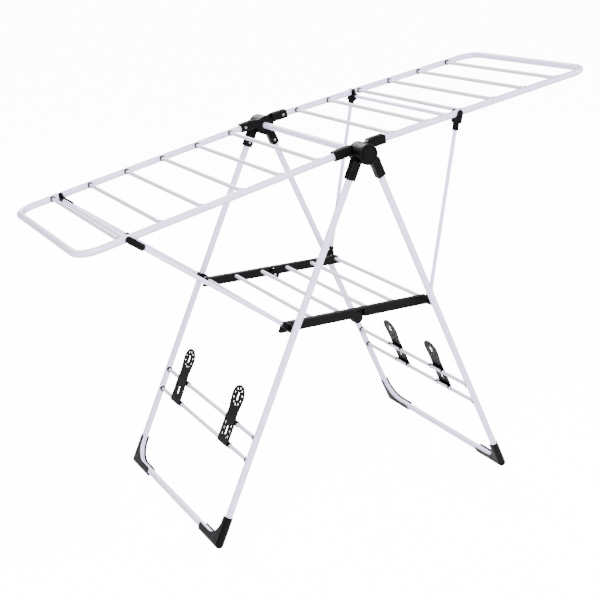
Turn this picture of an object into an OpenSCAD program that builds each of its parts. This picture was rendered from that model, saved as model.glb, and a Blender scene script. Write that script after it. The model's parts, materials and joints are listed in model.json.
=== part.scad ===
// Folding gull-wing clothes drying rack: two tube wings on a pair of pivoting hubs, two splayed
// tube legs, a shelf that folds up in the middle, wing supports, corner feet and shoe holders.
// Millimetres. X runs along the wings, Y along the rods, Z is up. The origin is on the floor,
// straight below the hub axis.

/* [Node] */
// which piece to draw

/* [Hubs] */
// height of the hub axis above the floor
pivot_h = 900; // [850:1:950]
// radius of the steel hub axle
axle_r = 6; // [4:0.5:8]
// radius of the round hub plates
disc_r = 25; // [20:0.5:30]
// radius of a tube socket
socket_r = 11.2; // [10:0.1:11.4]
// where a socket ends, measured from the hub axis
socket_end = 70; // [55:1:90]

/* [Tubes and rods] */
// outer radius of the main tubes
tube_r = 8.5; // [6:0.25:10]
// wall thickness of the main tubes
tube_wall = 1.2; // [0.6:0.1:2]
// radius of the hanging rods
rod_r = 5; // [2:0.25:6]
// wall thickness of the rods
rod_wall = 0.9; // [0.5:0.1:2]
// radius of the wing support tubes
support_r = 5; // [4:0.25:6]

/* [Wings] */
// distance from the centre plane to a wing tube
wing_y = 251.5; // [200:0.5:300]
// length of a wing from the hub axis to its end bar
wing_len = 706; // [500:1:800]
// bend radius at the wing corners
wing_bend = 48; // [25:1:80]
// how far a wing tube passes above the hub axis
wing_off = 13.2; // [12:0.1:16]
// distance from the hub axis to the first wing rod
rod_first = 103.5; // [80:0.5:150]
// spacing of the wing rods
rod_step = 101.3; // [60:0.1:120]
// rods in one wing
rod_count = 6; // [3:1:8]
// rod, counted from the hub, that the left support stands against
left_notch = 6; // [1:1:6]
// rod, counted from the hub, that the right support stands against
right_notch = 3; // [1:1:6]

/* [Legs] */
// distance from the centre plane to a leg tube
leg_y = 275; // [260:0.5:320]
// angle of each leg from the vertical
leg_angle = 24.2; // [15:0.1:35]
// how far a leg tube passes beside the hub axis
leg_off = 15.7; // [14:0.1:18]
// distance along the leg from the hub axis to the bottom bar
leg_len = 981; // [800:1:1100]
// bend radius at the feet
leg_bend = 55; // [40:1:90]
// distance along the leg to the upper leg rod
rod_upper = 718; // [600:0.5:800]
// distance along the leg to the lower leg rod
rod_lower = 774; // [650:0.5:850]

/* [Shelf] */
// height of the shelf pivots above the floor
shelf_h = 500; // [400:1:600]
// distance from the centre plane to a shelf rail
rail_y = 224.5; // [180:0.5:235]
// width of a shelf rail
rail_w = 14; // [10:0.5:18]
// height of a shelf rail
rail_h = 23; // [16:0.5:30]
// how far the top of a rail stands above its pivots
rail_up = 8; // [6:0.5:12]
// wall thickness of a shelf rail
rail_wall = 2.4; // [1.5:0.1:4]
// spacing of the shelf rods
shelf_step = 78.8; // [60:0.1:90]

/* [Supports] */
// distance from the shelf pivot to the bottom of the saddle
support_len = 464.2; // [400:0.1:520]
// gap along the wing between a saddle's centre and the rod that it stands against
notch_gap = 21; // [16:0.5:26]

/* [Shoe holders] */
// positions of the two left shoe holders along the rods
shoe_left = [-142, 162];
// positions of the two right shoe holders along the rods
shoe_right = [-124, 80];
// width of the clip bars
clip_w = 62; // [40:1:80]

/* [Hidden] */
$fn = 96;
fit = 0.05;
gap = 0.3;
tube_in = tube_r - tube_wall;
bush_r = rod_r + 1.2;

white = [0.9, 0.9, 0.93];
black = [0.08, 0.08, 0.09];
steel = [0.75, 0.76, 0.78];

// the shelf pivot on the right leg, in the X-Z plane
pivot_s = (pivot_h + leg_off * sin(leg_angle) - shelf_h) / cos(leg_angle);
pivot_x = leg_off * cos(leg_angle) + pivot_s * sin(leg_angle);
pivot_drop = pivot_h - shelf_h;
pivot_dist = norm([pivot_x, pivot_drop]);

// distance along the wing to the saddle that stands against the rod of this number
function notch_d(n) = rod_first + (n - 1) * rod_step - notch_gap;
// distance from the hub axis to the bottom of the wing tube at the saddle
function notch_r(n) = norm([notch_d(n), wing_off - tube_r]);
// angle of the wing above the horizontal with its saddle against that rod
function wing_angle(n) = acos((pow(pivot_dist, 2) + pow(notch_r(n), 2) - pow(support_len, 2))
                              / (2 * pivot_dist * notch_r(n)))
                         - atan2(pivot_drop, pivot_x) - atan2(wing_off - tube_r, notch_d(n));
// the saddle's seat, in the X-Z plane
function seat_x(n) = notch_d(n) * cos(wing_angle(n)) - (wing_off - tube_r) * sin(wing_angle(n));
function seat_z(n) = pivot_h + notch_d(n) * sin(wing_angle(n)) + (wing_off - tube_r) * cos(wing_angle(n));
// angle of the support above the horizontal
function support_angle(n) = atan2(seat_z(n) - shelf_h, seat_x(n) - pivot_x);

// ---------- frames of reference ----------

// flips a right-hand piece to the left side
module on_side(side) {
  if (side < 0)
    mirror([1, 0, 0]) children();
  else
    children();
}

// flips a back piece to the front
module on_end(end) {
  if (end < 0)
    mirror([0, 1, 0]) children();
  else
    children();
}

// X points away from the other leg, Z runs up the leg to the hub axis
module on_leg(side) {
  on_side(side) translate([0, 0, pivot_h]) rotate([0, -leg_angle, 0]) children();
}

// X runs out along the wing from the hub axis, Z points up from the wing
module on_wing(side, notch) {
  on_side(side) translate([0, 0, pivot_h]) rotate([0, -wing_angle(notch), 0]) children();
}

// Z runs up the support from the shelf pivot
module on_support(side, notch) {
  on_side(side) translate([pivot_x, 0, shelf_h])
    rotate([0, 90 - support_angle(notch), 0]) children();
}

// X runs along the wing tube and Z points away from it, starting at the saddle's seat
module on_seat(side, notch) {
  on_side(side) translate([seat_x(notch), 0, seat_z(notch)])
    rotate([0, -wing_angle(notch), 0]) children();
}

// a cylinder along Y from y0 to y1
module y_rod(r, y0, y1) {
  translate([0, y0, 0]) rotate([-90, 0, 0]) cylinder(r = r, h = y1 - y0);
}

// a hollow rod along Y from y0 to y1
module y_tube(y0, y1) {
  difference() {
    y_rod(rod_r, y0, y1);
    y_rod(rod_r - rod_wall, y0 - 1, y1 + 1);
  }
}

// a cylinder along X from x0 to x1
module x_rod(r, x0, x1) {
  translate([x0, 0, 0]) rotate([0, 90, 0]) cylinder(r = r, h = x1 - x0);
}

// ---------- hub ----------

module hub_cross_tube() {
  color(white) translate([0, 0, pivot_h]) difference() {
    y_rod(tube_r, -240, 240);
    y_rod(axle_r + fit, -241, 241);
  }
}

module hub_axle() {
  color(steel) translate([0, 0, pivot_h]) y_rod(axle_r, -292, 292);
}

// round cover over the end of the axle, with a rounded rim, a ring groove and a raised middle
module hub_cap(end) {
  color(black) on_end(end) translate([0, 286.7, pivot_h]) rotate([-90, 0, 0]) difference() {
    rotate_extrude() union() {
      square([disc_r - 2, 7.5]);
      square([disc_r, 5.5]);
      translate([disc_r - 2, 5.5]) circle(r = 2);
      square([12.5, 9]);
      translate([12.5, 7.5]) circle(r = 1.5);
    }
    translate([0, 0, 6.5]) difference() {
      cylinder(r = disc_r - 6, h = 4);
      cylinder(r = disc_r - 8.5, h = 4);
    }
    translate([0, 0, -1]) cylinder(r = axle_r + fit, h = 6.5);
  }
}

// plate and socket, drawn in the X-Z plane with the tube running along X at height off
module socket_arm(off) {
  rotate([90, 0, 0]) linear_extrude(height = 10.6, center = true) union() {
    circle(r = disc_r);
    polygon([
      [0, off - socket_r + 1], [34, off - socket_r + 1],
      [34, off + socket_r - 0.5], [disc_r + 1, off + socket_r - 0.5], [12, 21], [0, 21]
    ]);
  }
}

// square with rounded corners
module soft_square(half, r) {
  square([2 * half, 2 * (half - r)], center = true);
  square([2 * (half - r), 2 * half], center = true);
  for (u = [-1, 1])
    for (w = [-1, 1])
      translate([u * (half - r), w * (half - r)]) circle(r = r);
}

// a hub plate with its socket; plane is the tube's Y, plate the centre of the round plate
module socket(off, plane, plate) {
  difference() {
    union() {
      translate([0, plate, 0]) socket_arm(off);
      translate([disc_r + 0.5, plane, off]) rotate([90, 0, 90])
        linear_extrude(height = socket_end - disc_r - 0.5) soft_square(socket_r, 3.5);
      for (w = [-1, 1])
        translate([disc_r + 0.5, plane + w * 4.6 - 1.2, off])
          cube([socket_end - disc_r - 2, 2.4, socket_r + 1.3]);
    }
    y_rod(axle_r + fit, plate - 8, plate + 8);
    translate([0, plane, off]) x_rod(tube_r + fit, disc_r + 3.5, socket_end + 1);
    // rivet hole and its flat seat, on the side that faces the middle of the rack
    translate([58, plane, off]) y_rod(2 + fit, -socket_r - 1, 0);
    translate([58, plane, off]) y_rod(4, -socket_r - 1, -socket_r + 0.4);
  }
}

// the rivet through the socket and one wall of the tube
module socket_rivet(off, plane) {
  translate([58, plane, off]) union() {
    y_rod(2, -socket_r + 0.2, -6);
    y_rod(3.4, -socket_r - 0.6, -socket_r + 0.4);
  }
}

// ---------- wings ----------

// half of a U-shaped tube: one arm along X, a bend and half of the end bar
module u_half(r, x0, len, half, bend) {
  translate([0, half, 0]) x_rod(r, x0, len - bend);
  translate([len - bend, half - bend, 0])
    rotate_extrude(angle = 90) translate([bend, 0]) circle(r = r);
  translate([len, 0, 0]) y_rod(r, 0, half - bend);
}

module u_solid(r, x0, len, half, bend) {
  u_half(r, x0, len, half, bend);
  mirror([0, 1, 0]) u_half(r, x0, len, half, bend);
}

// hollow U-shaped tube with its open ends at x0
module u_tube(x0, len, half, bend) {
  difference() {
    u_solid(tube_r, x0, len, half, bend);
    u_solid(tube_in, x0 - 1, len, half, bend);
  }
}

module wing_frame(side, notch) {
  color(white) on_wing(side, notch) translate([0, 0, wing_off]) difference() {
    u_tube(disc_r + 4, wing_len, wing_y, wing_bend);
    for (k = [0 : rod_count - 1])
      translate([rod_first + k * rod_step, 0, 0]) y_rod(bush_r, -wing_y + 3, wing_y - 3);
    for (end = [-1, 1])
      on_end(end) translate([58, wing_y, 0]) y_rod(2 + fit, -tube_r - 1, 0);
  }
}

module wing_rods(side, notch) {
  color(white) on_wing(side, notch)
    for (k = [0 : rod_count - 1])
      translate([rod_first + k * rod_step, 0, wing_off]) y_tube(-wing_y + 3, wing_y - 3);
}

// plastic bush around a rod where it enters a tube whose axis is at distance y
module grommet(y) {
  difference() {
    union() {
      y_rod(bush_r - fit, y - tube_r - 1, y - 5.8);
      y_rod(rod_r + 2.6, y - tube_r - 3.4, y - tube_r + 4);
    }
    y_rod(rod_r + fit, y - 20, y);
    difference() {
      translate([0, y, 0]) x_rod(tube_r + fit, -10, 10);
      y_rod(bush_r - fit, y - 20, y);
    }
  }
}

module wing_grommets(side, notch) {
  color(black) on_wing(side, notch)
    for (k = [0 : rod_count - 1])
      for (end = [-1, 1])
        translate([rod_first + k * rod_step, 0, wing_off]) on_end(end) grommet(wing_y);
}

module wing_socket(side, end, notch) {
  plate = side < 0 ? wing_y - 5.6 : wing_y + 5.7;
  color(black) on_wing(side, notch) on_end(end) socket(wing_off, wing_y, plate);
}

module wing_rivets(side, notch) {
  color(steel) on_wing(side, notch)
    for (end = [-1, 1])
      on_end(end) socket_rivet(wing_off, wing_y);
}

// ---------- legs ----------

// turns a piece drawn along X so that it runs down the leg, with its height facing outwards
module down_leg(side) {
  on_leg(side) rotate([0, 90, 0]) children();
}

module leg_frame(side) {
  color(white) down_leg(side) translate([0, 0, leg_off]) difference() {
    u_tube(disc_r + 4, leg_len, leg_y, leg_bend);
    for (s = [rod_upper, rod_lower])
      translate([s, 0, 0]) y_rod(bush_r, -leg_y + 3, leg_y - 3);
    translate([pivot_s, 0, 0]) y_rod(rod_r + fit, -leg_y - 2, leg_y + 2);
    for (end = [-1, 1])
      on_end(end) translate([58, leg_y, 0]) y_rod(2 + fit, -tube_r - 1, 0);
  }
}

module leg_rods(side) {
  color(white) down_leg(side)
    for (s = [rod_upper, rod_lower])
      translate([s, 0, leg_off]) y_tube(-leg_y + 3, leg_y - 3);
}

module leg_grommets(side) {
  color(black) down_leg(side)
    for (s = [rod_upper, rod_lower])
      for (end = [-1, 1])
        translate([s, 0, leg_off]) on_end(end) grommet(leg_y);
}

module leg_socket(side, end) {
  plate = side < 0 ? leg_y - 5.5 : leg_y + 5.8;
  color(black) down_leg(side) on_end(end) socket(leg_off, leg_y, plate);
}

module leg_rivets(side) {
  color(steel) down_leg(side)
    for (end = [-1, 1])
      on_end(end) socket_rivet(leg_off, leg_y);
}

// how far the outer rim of a foot lies below the bottom bar's axis, along the leg
foot_drop = 3;
// half the thickness of a foot
foot_r = 10.6;
// how far a foot reaches up the leg and along the bottom bar
foot_up = 66;
foot_along = 102;

// the side plates of a foot, in the plane of the leg: X down the leg, Y towards the outside
module foot_plate() {
  difference() {
    union() {
      translate([leg_len - foot_up, leg_y - tube_r])
        square([foot_up + foot_drop, tube_r]);
      translate([leg_len - tube_r, leg_y - foot_along])
        square([tube_r + foot_drop, foot_along]);
      translate([leg_len - leg_bend, leg_y - leg_bend])
        square([leg_bend + foot_drop, leg_bend]);
    }
    translate([leg_len - leg_bend, leg_y - leg_bend]) circle(r = leg_bend - tube_r);
  }
}

// corner shell around the bend of the leg tube, open towards the middle of the leg frame
module foot(side, end) {
  color(black) intersection() {
    down_leg(side) on_end(end) translate([0, 0, leg_off]) difference() {
      union() {
        linear_extrude(height = 2 * foot_r, center = true) foot_plate();
        translate([0, leg_y, 0]) x_rod(foot_r, leg_len - foot_up, leg_len + foot_drop);
        translate([leg_len + foot_drop, leg_y, 0]) sphere(r = foot_r);
        translate([leg_len + foot_drop, 0, 0]) y_rod(foot_r, leg_y - foot_along, leg_y);
      }
      u_half(tube_r + fit, leg_len - 80, leg_len, leg_y, leg_bend);
      linear_extrude(height = 2 * tube_r + 2 * fit, center = true) union() {
        translate([leg_len - 90, 0]) square([90 - leg_bend, leg_y]);
        translate([leg_len - 90, 0]) square([90, leg_y - leg_bend]);
        translate([leg_len - leg_bend, leg_y - leg_bend]) circle(r = leg_bend);
      }
    }
    translate([-700, -400, 0]) cube([1400, 800, 200]);
  }
}

// ---------- shoe holders ----------

// a slot with round ends, along X
module slot_2d(x0, x1, r) {
  translate([x0 + r, -r]) square([x1 - x0 - 2 * r, 2 * r]);
  translate([x0 + r, 0]) circle(r = r);
  translate([x1 - r, 0]) circle(r = r);
}

// outline of the sole-shaped plate, X down the leg, starting at its top end
module sole_outline() {
  translate([29.5, 0]) circle(r = 29.5);
  polygon([
    [36, -28.5], [50, -26.5], [64, -23.5], [78, -24.5], [92, -26.5], [151, -27.5],
    [151, 27.5], [92, 26.5], [78, 24.5], [64, 23.5], [50, 26.5], [36, 28.5]
  ]);
}

module sole_holes() {
  // upper slot with a ring of holes around it
  slot_2d(17, 40, 4.4);
  for (a = [0 : 36 : 324])
    translate([29 - 20.5 * cos(a), 19.5 * sin(a)]) circle(r = 3.5);
  // the waist: two columns of oval holes between two columns of round ones
  for (k = [0 : 2])
    for (w = [-1, 1]) {
      translate([0, w * 5.2]) slot_2d(53 + k * 10.5, 60.5 + k * 10.5, 2.3);
      translate([58 + k * 10.5, w * 14 + w * (k == 1 ? 0 : 1)]) circle(r = 2.6);
    }
  // lower slot with holes beside it and below it
  slot_2d(104, 128, 4.2);
  for (k = [0 : 2])
    for (w = [-1, 1])
      translate([0, w * 15.5]) slot_2d(96 + k * 14, 106 + k * 14, 2.8);
  for (w = [-1, 1])
    translate([136, w * 7]) circle(r = 2.9);
}

// snap clip around a rod, open towards the inside of the rack
module rod_clip() {
  difference() {
    y_rod(rod_r + 1.9, -clip_w / 2, clip_w / 2);
    y_rod(rod_r + fit, -clip_w / 2 - 1, clip_w / 2 + 1);
    translate([-rod_r + 0.8, -clip_w / 2 - 1, -rod_r - 3])
      cube([2 * rod_r - 1.6, clip_w + 2, rod_r + 1]);
    // open on the inner side between the two end hooks
    translate([-rod_r - 3, -clip_w / 2 + 6, -rod_r - 3])
      cube([2 * rod_r + 6, clip_w - 12, rod_r + 2.5]);
  }
}

module shoe_holder(side, y) {
  color(black) down_leg(side) translate([0, y, leg_off]) difference() {
    union() {
      translate([rod_lower, 0, rod_r + 0.6]) rotate([0, 0.6, 0])
        translate([rod_upper - 90 - rod_lower, 0, 0])
          linear_extrude(height = 3) difference() {
            sole_outline();
            sole_holes();
          }
      translate([rod_upper, 0, 0]) rod_clip();
      translate([rod_lower, 0, 0]) rod_clip();
    }
    for (s = [rod_upper, rod_lower])
      translate([s, 0, 0]) y_rod(rod_r + fit, -clip_w, clip_w);
  }
}

// ---------- supports ----------

module support_tube(side, end, notch) {
  color(white) on_support(side, notch) on_end(end) translate([0, wing_y, 0]) difference() {
    translate([0, 0, 11]) cylinder(r = support_r, h = support_len - 26);
    translate([0, 0, 10]) cylinder(r = support_r - 1, h = support_len - 24);
  }
}

module support_crossbar(side, notch) {
  color(white) on_seat(side, notch) translate([0, 0, -2]) difference() {
    y_rod(support_r, -wing_y + 15, wing_y - 15);
    y_rod(support_r - 1, -wing_y + 14, wing_y - 14);
  }
}

// fork that the wing tube lies in, with sockets for the support tube and the crossbar
module support_saddle(side, end, notch) {
  seat_r = tube_r + gap;
  wall = 2.6;
  color(black) difference() {
    union() {
      // sleeve, base and outer wall, in line with the support tube
      on_support(side, notch) on_end(end) {
        translate([0, wing_y, support_len - 33]) cylinder(r = 8, h = 25);
        translate([-8, wing_y - seat_r - wall, support_len - 15])
          cube([16, 2 * (seat_r + wall), 12]);
        translate([-8, wing_y + seat_r - 1, support_len - 15]) cube([16, wall + 1, 25]);
        translate([0, 0, support_len + 10])
          y_rod(8, wing_y + seat_r - 1, wing_y + seat_r + wall);
      }
      // seat, crossbar socket and inner wall, square to the wing
      on_seat(side, notch) on_end(end) {
        translate([0, 0, -2]) y_rod(7.3, wing_y - 25, wing_y + 5);
        translate([-6, wing_y - seat_r - wall, -4]) cube([12, wall + 1, 16.5]);
        translate([0, 0, 12.5]) y_rod(6, wing_y - seat_r - wall, wing_y - seat_r + 1);
      }
    }
    on_support(side, notch) on_end(end) translate([0, wing_y, support_len - 34])
      cylinder(r = support_r + fit, h = 19.2);
    on_seat(side, notch) on_end(end) {
      translate([0, 0, -2]) y_rod(support_r + fit, wing_y - 26, wing_y - 14.8);
      translate([0, wing_y, tube_r]) x_rod(seat_r, -30, 30);
      translate([-30, wing_y - seat_r, tube_r]) cube([60, 2 * seat_r, 30]);
    }
  }
}

// eye on the shelf pivot, tapering into a socket for the support tube
module support_foot(side, end, notch) {
  color(black) on_support(side, notch) on_end(end) difference() {
    union() {
      y_rod(rod_r + 5, wing_y - 6.5, wing_y + 6.5);
      y_rod(rod_r + 4, wing_y, leg_y - tube_r - 0.5);
      translate([0, wing_y, 0]) cylinder(r = 6.8, h = 29);
      translate([0, wing_y + 6.5, 0]) rotate([90, 0, 0]) linear_extrude(height = 13)
        polygon([[-rod_r - 4.5, 0], [rod_r + 4.5, 0], [6.4, 17], [-6.4, 17]]);
    }
    y_rod(rod_r + fit, wing_y - 9, leg_y);
    translate([0, wing_y, 10.8]) cylinder(r = support_r + fit, h = 30);
  }
}

// ---------- shelf ----------

rail_top = shelf_h + rail_up;
rail_end = pivot_x + 10;
knuckle_z = rail_top - rail_h - 0.5;
knuckle_r = 14.5;
block_x = 19.8;

// one rail, from the folding joint in the middle to just past the leg; tab is the Y side of
// the knuckle plate: 1 for the outer half of the rail's width, -1 for the inner half
module rail(side, end, tab) {
  half = rail_w / 2;
  inner = rail_y - half;
  color(black) on_side(side) on_end(end) difference() {
    union() {
      difference() {
        translate([block_x, inner, rail_top - rail_h])
          cube([rail_end + 8 - block_x, rail_w, rail_h]);
        translate([block_x + 6, inner + rail_wall, rail_top - rail_h - 1])
          cube([pivot_x - 9 - block_x - 6, rail_w - 2 * rail_wall, rail_h + 1 - rail_wall]);
      }
      translate([0.25, inner, knuckle_z + block_x])
        cube([block_x, rail_w, rail_top - knuckle_z - block_x]);
      translate([0, rail_y + tab * (half / 2 + 0.15), 0]) {
        translate([0.25, -half / 2 + 0.15, knuckle_z])
          cube([block_x, half - 0.3, rail_top - knuckle_z]);
        translate([0, 0, knuckle_z]) y_rod(knuckle_r, -half / 2 + 0.15, half / 2 - 0.15);
      }
      // ring around the pin's head
      if (tab < 0)
        translate([0, 0, knuckle_z]) y_rod(8, inner - 1.4, inner + 1);
    }
    // end cut off along the leg
    translate([rail_end, inner - 5, shelf_h]) rotate([0, -leg_angle, 0])
      translate([0, 0, -60]) cube([40, rail_w + 10, 120]);
    translate([0, 0, knuckle_z]) y_rod(3 + fit, inner - 2, inner + rail_w - 1.5);
    if (tab < 0)
      translate([0, 0, knuckle_z]) y_rod(5.4, inner - 2, inner);
    for (k = [0 : 1])
      translate([(k + 0.5) * shelf_step - 1, 0, shelf_h])
        y_rod(rod_r + fit, inner - 1, inner + rail_w - rail_wall);
    translate([pivot_x, 0, shelf_h])
      y_rod(rod_r + fit, inner - 1, inner + rail_w + (side < 0 ? 1 : -rail_wall));
  }
}

// the two middle rods of a shelf half; the right half also has its own end rod
module shelf_rods(side) {
  reach = rail_y + rail_w / 2 - rail_wall - 0.2;
  color(white) on_side(side) {
    for (k = [0 : 1])
      translate([(k + 0.5) * shelf_step - 1, 0, shelf_h]) y_tube(-reach, reach);
    if (side > 0)
      translate([pivot_x, 0, shelf_h]) y_tube(-reach, reach);
  }
}

module shelf_hinge_pins() {
  inner = rail_y - rail_w / 2;
  color(steel)
    for (end = [-1, 1])
      on_end(end) translate([0, 0, knuckle_z]) {
        y_rod(3, inner - 1, inner + rail_w - 1.7);
        y_rod(4.2, inner - 1.6, inner - 0.3);
      }
}

// through rod that carries the left shelf half and the left support
module shelf_pivot_rod_left() {
  color(white) on_side(-1) translate([pivot_x, 0, shelf_h]) y_tube(-leg_y - 1, leg_y + 1);
}

// short pins that carry the right support
module support_pins_right() {
  color(white)
    for (end = [-1, 1])
      on_end(end) translate([pivot_x, 0, shelf_h])
        y_rod(rod_r, wing_y - 6, leg_y + 1);
}

// ---------- nodes ----------

hub_cross_tube();
hub_axle();
hub_cap(-1);  // hub_cap_front
hub_cap(1);  // hub_cap_back
leg_frame(-1);  // leg_left_frame
leg_rods(-1);  // leg_left_rods
leg_grommets(-1);  // leg_left_grommets
leg_socket(-1, -1);  // leg_left_socket_front
leg_socket(-1, 1);  // leg_left_socket_back
leg_rivets(-1);  // leg_left_rivets
foot(-1, -1);  // foot_left_front
foot(-1, 1);  // foot_left_back
shoe_holder(-1, shoe_left[0]);  // shoe_holder_left_front
shoe_holder(-1, shoe_left[1]);  // shoe_holder_left_back
shelf_pivot_rod_left();
leg_frame(1);  // leg_right_frame
leg_rods(1);  // leg_right_rods
leg_grommets(1);  // leg_right_grommets
leg_socket(1, -1);  // leg_right_socket_front
leg_socket(1, 1);  // leg_right_socket_back
leg_rivets(1);  // leg_right_rivets
foot(1, -1);  // foot_right_front
foot(1, 1);  // foot_right_back
shoe_holder(1, shoe_right[0]);  // shoe_holder_right_front
shoe_holder(1, shoe_right[1]);  // shoe_holder_right_back
support_pins_right();
wing_frame(-1, left_notch);  // wing_left_frame
wing_rods(-1, left_notch);  // wing_left_rods
wing_grommets(-1, left_notch);  // wing_left_grommets
wing_socket(-1, -1, left_notch);  // wing_left_socket_front
wing_socket(-1, 1, left_notch);  // wing_left_socket_back
wing_rivets(-1, left_notch);  // wing_left_rivets
wing_frame(1, right_notch);  // wing_right_frame
wing_rods(1, right_notch);  // wing_right_rods
wing_grommets(1, right_notch);  // wing_right_grommets
wing_socket(1, -1, right_notch);  // wing_right_socket_front
wing_socket(1, 1, right_notch);  // wing_right_socket_back
wing_rivets(1, right_notch);  // wing_right_rivets
support_tube(-1, -1, left_notch);  // support_left_tube_front
support_tube(-1, 1, left_notch);  // support_left_tube_back
support_crossbar(-1, left_notch);  // support_left_crossbar
support_saddle(-1, -1, left_notch);  // support_left_saddle_front
support_saddle(-1, 1, left_notch);  // support_left_saddle_back
support_foot(-1, -1, left_notch);  // support_left_foot_front
support_foot(-1, 1, left_notch);  // support_left_foot_back
support_tube(1, -1, right_notch);  // support_right_tube_front
support_tube(1, 1, right_notch);  // support_right_tube_back
support_crossbar(1, right_notch);  // support_right_crossbar
support_saddle(1, -1, right_notch);  // support_right_saddle_front
support_saddle(1, 1, right_notch);  // support_right_saddle_back
support_foot(1, -1, right_notch);  // support_right_foot_front
support_foot(1, 1, right_notch);  // support_right_foot_back
rail(-1, -1, 1);  // shelf_left_rail_front
rail(-1, 1, 1);  // shelf_left_rail_back
shelf_rods(-1);  // shelf_left_rods
shelf_hinge_pins();
rail(1, -1, -1);  // shelf_right_rail_front
rail(1, 1, -1);  // shelf_right_rail_back
shelf_rods(1);  // shelf_right_rods
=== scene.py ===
import json
import math

import bpy
from mathutils import Matrix, Vector

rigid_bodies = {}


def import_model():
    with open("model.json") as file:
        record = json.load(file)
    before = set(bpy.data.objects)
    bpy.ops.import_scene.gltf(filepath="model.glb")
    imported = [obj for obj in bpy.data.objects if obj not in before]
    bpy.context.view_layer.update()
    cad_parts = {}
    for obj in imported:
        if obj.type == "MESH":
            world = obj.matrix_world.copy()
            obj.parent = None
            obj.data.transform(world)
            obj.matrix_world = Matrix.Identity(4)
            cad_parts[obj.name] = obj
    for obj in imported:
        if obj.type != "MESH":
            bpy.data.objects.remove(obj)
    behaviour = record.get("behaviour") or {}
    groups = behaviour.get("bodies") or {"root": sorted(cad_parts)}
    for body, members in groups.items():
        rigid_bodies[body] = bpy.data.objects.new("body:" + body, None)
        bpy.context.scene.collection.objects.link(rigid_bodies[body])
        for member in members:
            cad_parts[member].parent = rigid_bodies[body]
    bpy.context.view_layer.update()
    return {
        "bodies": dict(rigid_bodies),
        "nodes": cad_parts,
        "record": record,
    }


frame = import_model()
nodes = frame["nodes"]
bodies = frame["bodies"]


# ---------- materials ----------

def new_material(name):
    mat = bpy.data.materials.new(name)
    mat.use_nodes = True
    tree = mat.node_tree
    tree.nodes.clear()
    out = tree.nodes.new("ShaderNodeOutputMaterial")
    shader = tree.nodes.new("ShaderNodeBsdfPrincipled")
    tree.links.new(shader.outputs["BSDF"], out.inputs["Surface"])
    return mat, tree, shader


def noise(tree, scale, detail=4.0, stretch=(1, 1, 1)):
    coords = tree.nodes.new("ShaderNodeTexCoord")
    mapping = tree.nodes.new("ShaderNodeMapping")
    mapping.inputs["Scale"].default_value = stretch
    tex = tree.nodes.new("ShaderNodeTexNoise")
    tex.inputs["Scale"].default_value = scale
    tex.inputs["Detail"].default_value = detail
    tree.links.new(coords.outputs["Object"], mapping.inputs["Vector"])
    tree.links.new(mapping.outputs["Vector"], tex.inputs["Vector"])
    return tex.outputs["Fac"]


def blend_colors(tree, fac, low, high):
    ramp = tree.nodes.new("ShaderNodeValToRGB")
    ramp.color_ramp.elements[0].color = (*low, 1)
    ramp.color_ramp.elements[1].color = (*high, 1)
    ramp.color_ramp.elements[0].position = 0.3
    ramp.color_ramp.elements[1].position = 0.7
    tree.links.new(fac, ramp.inputs["Fac"])
    return ramp.outputs["Color"]


def value_range(tree, fac, low, high):
    node = tree.nodes.new("ShaderNodeMapRange")
    node.inputs["From Min"].default_value = 0.3
    node.inputs["From Max"].default_value = 0.7
    node.inputs["To Min"].default_value = low
    node.inputs["To Max"].default_value = high
    tree.links.new(fac, node.inputs["Value"])
    return node.outputs["Result"]


def bump(tree, shader, fac, strength, distance):
    node = tree.nodes.new("ShaderNodeBump")
    node.inputs["Strength"].default_value = strength
    node.inputs["Distance"].default_value = distance
    tree.links.new(fac, node.inputs["Height"])
    tree.links.new(node.outputs["Normal"], shader.inputs["Normal"])


def painted(name, low, high):
    mat, tree, shader = new_material(name)
    tree.links.new(blend_colors(tree, noise(tree, 9.0), low, high), shader.inputs["Base Color"])
    tree.links.new(value_range(tree, noise(tree, 60.0), 0.26, 0.36), shader.inputs["Roughness"])
    shader.inputs["Coat Weight"].default_value = 0.4
    shader.inputs["Coat Roughness"].default_value = 0.12
    bump(tree, shader, noise(tree, 420.0, 2.0), 0.12, 0.0003)
    return mat


def plastic(name, low, high):
    mat, tree, shader = new_material(name)
    shader.inputs["Specular IOR Level"].default_value = 0.08
    tree.links.new(blend_colors(tree, noise(tree, 40.0), low, high), shader.inputs["Base Color"])
    tree.links.new(value_range(tree, noise(tree, 90.0), 0.34, 0.48), shader.inputs["Roughness"])
    bump(tree, shader, noise(tree, 1600.0, 2.0), 0.18, 0.0002)
    return mat


def metal(name, color):
    mat, tree, shader = new_material(name)
    dark = tuple(0.85 * v for v in color)
    tree.links.new(blend_colors(tree, noise(tree, 300.0), dark, color), shader.inputs["Base Color"])
    tree.links.new(value_range(tree, noise(tree, 500.0), 0.2, 0.34), shader.inputs["Roughness"])
    shader.inputs["Metallic"].default_value = 1.0
    bump(tree, shader, noise(tree, 900.0, 2.0), 0.1, 0.0002)
    return mat


TUBE = painted("white_coat_tube", (0.66, 0.608, 0.88), (0.70, 0.648, 0.92))
ROD = painted("white_coat_rod", (0.56, 0.53, 0.68), (0.60, 0.57, 0.72))
BLACK = plastic("black_moulded", (0.0010, 0.0010, 0.0012), (0.0018, 0.0018, 0.0021))
STEEL = metal("zinc_steel", (0.42, 0.43, 0.45))
SLOTS = {"tube_white": TUBE, "rod_white": ROD, "black_plastic": BLACK, "steel": STEEL}

for part in frame["record"]["subparts"]:
    mesh = nodes[part["node"]].data
    mesh.materials.clear()
    mesh.materials.append(SLOTS[part["material_slot"]])

# ---------- floor, light and camera ----------

# how much brighter the paper sweep looks than the light that it sends back
SWEEP_GLOW = 13.0


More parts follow.
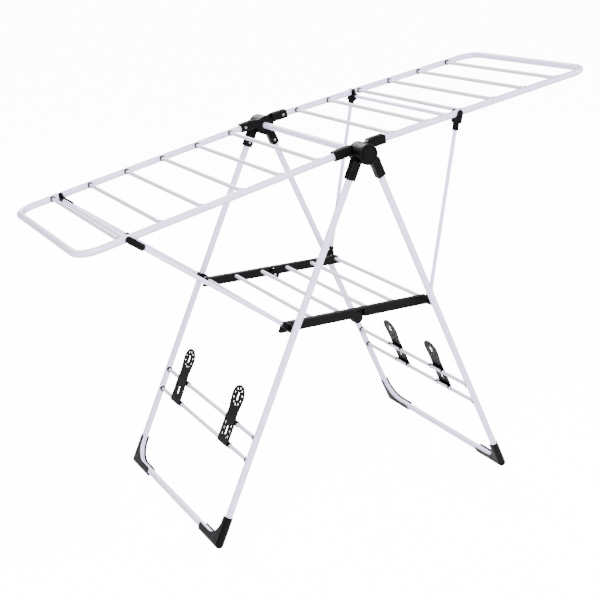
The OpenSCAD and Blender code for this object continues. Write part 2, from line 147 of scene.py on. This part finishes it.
def sweep_material(name, color):
    mat, tree, shader = new_material(name)
    low = tuple(0.985 * v for v in color)
    tree.links.new(blend_colors(tree, noise(tree, 2.0), low, color), shader.inputs["Base Color"])
    shader.inputs["Roughness"].default_value = 0.8
    shader.inputs["Specular IOR Level"].default_value = 0.1
    glow = tree.nodes.new("ShaderNodeMath")
    glow.operation = "MULTIPLY"
    glow.inputs[1].default_value = SWEEP_GLOW
    path = tree.nodes.new("ShaderNodeLightPath")
    tree.links.new(path.outputs["Is Camera Ray"], glow.inputs[0])
    shader.inputs["Emission Color"].default_value = (1, 1, 1, 1)
    tree.links.new(glow.outputs["Value"], shader.inputs["Emission Strength"])
    return mat


bpy.ops.mesh.primitive_plane_add(size=160, location=(0, 0, 0))
floor = bpy.context.object
floor.name = "floor"
floor.data.materials.append(sweep_material("floor_white", (0.95, 0.95, 0.95)))

world = bpy.data.worlds.new("studio")
bpy.context.scene.world = world
world.use_nodes = True
sky = world.node_tree
background = sky.nodes["Background"]
background.inputs["Color"].default_value = (1.0, 1.0, 1.0, 1)
strength = sky.nodes.new("ShaderNodeMapRange")
strength.inputs["To Min"].default_value = 0.55
strength.inputs["To Max"].default_value = SWEEP_GLOW + 2.0
path = sky.nodes.new("ShaderNodeLightPath")
sky.links.new(path.outputs["Is Camera Ray"], strength.inputs["Value"])
sky.links.new(strength.outputs["Result"], background.inputs["Strength"])


def area_light(name, location, target, size, power):
    data = bpy.data.lights.new(name, "AREA")
    data.shape = "DISK"
    data.size = size
    data.energy = power
    lamp = bpy.data.objects.new(name, data)
    lamp.location = location
    lamp.rotation_euler = (Vector(target) - Vector(location)).to_track_quat("-Z", "Y").to_euler()
    bpy.context.scene.collection.objects.link(lamp)


area_light("key", (-2.2, -3.0, 3.6), (0, 0, 0.6), 2.8, 560)
area_light("fill", (3.2, -1.8, 2.4), (0, 0, 0.6), 2.4, 200)
area_light("back", (0.5, 3.4, 3.0), (0, 0, 0.6), 2.4, 200)

camera_data = bpy.data.cameras.new("camera")
camera = bpy.data.objects.new("camera", camera_data)
bpy.context.scene.collection.objects.link(camera)
yaw = math.radians(-28.822)
pitch = math.radians(-15.573)
roll = math.radians(-1.44)
forward = Vector((-math.sin(yaw) * math.cos(pitch), math.cos(yaw) * math.cos(pitch), math.sin(pitch)))
level = Vector((math.cos(yaw), math.sin(yaw), 0))
above = level.cross(forward)
right = math.cos(roll) * level + math.sin(roll) * above
up = math.cos(roll) * above - math.sin(roll) * level
camera.matrix_world = Matrix((
    (right.x, up.x, -forward.x, -1.38006),
    (right.y, up.y, -forward.y, -2.55941),
    (right.z, up.z, -forward.z, 1.39785),
    (0, 0, 0, 1),
))
camera_data.lens = 69.61
camera_data.sensor_width = 36
camera_data.shift_x = -0.035
camera_data.shift_y = -0.073
camera_data.clip_start = 0.05
bpy.context.scene.camera = camera
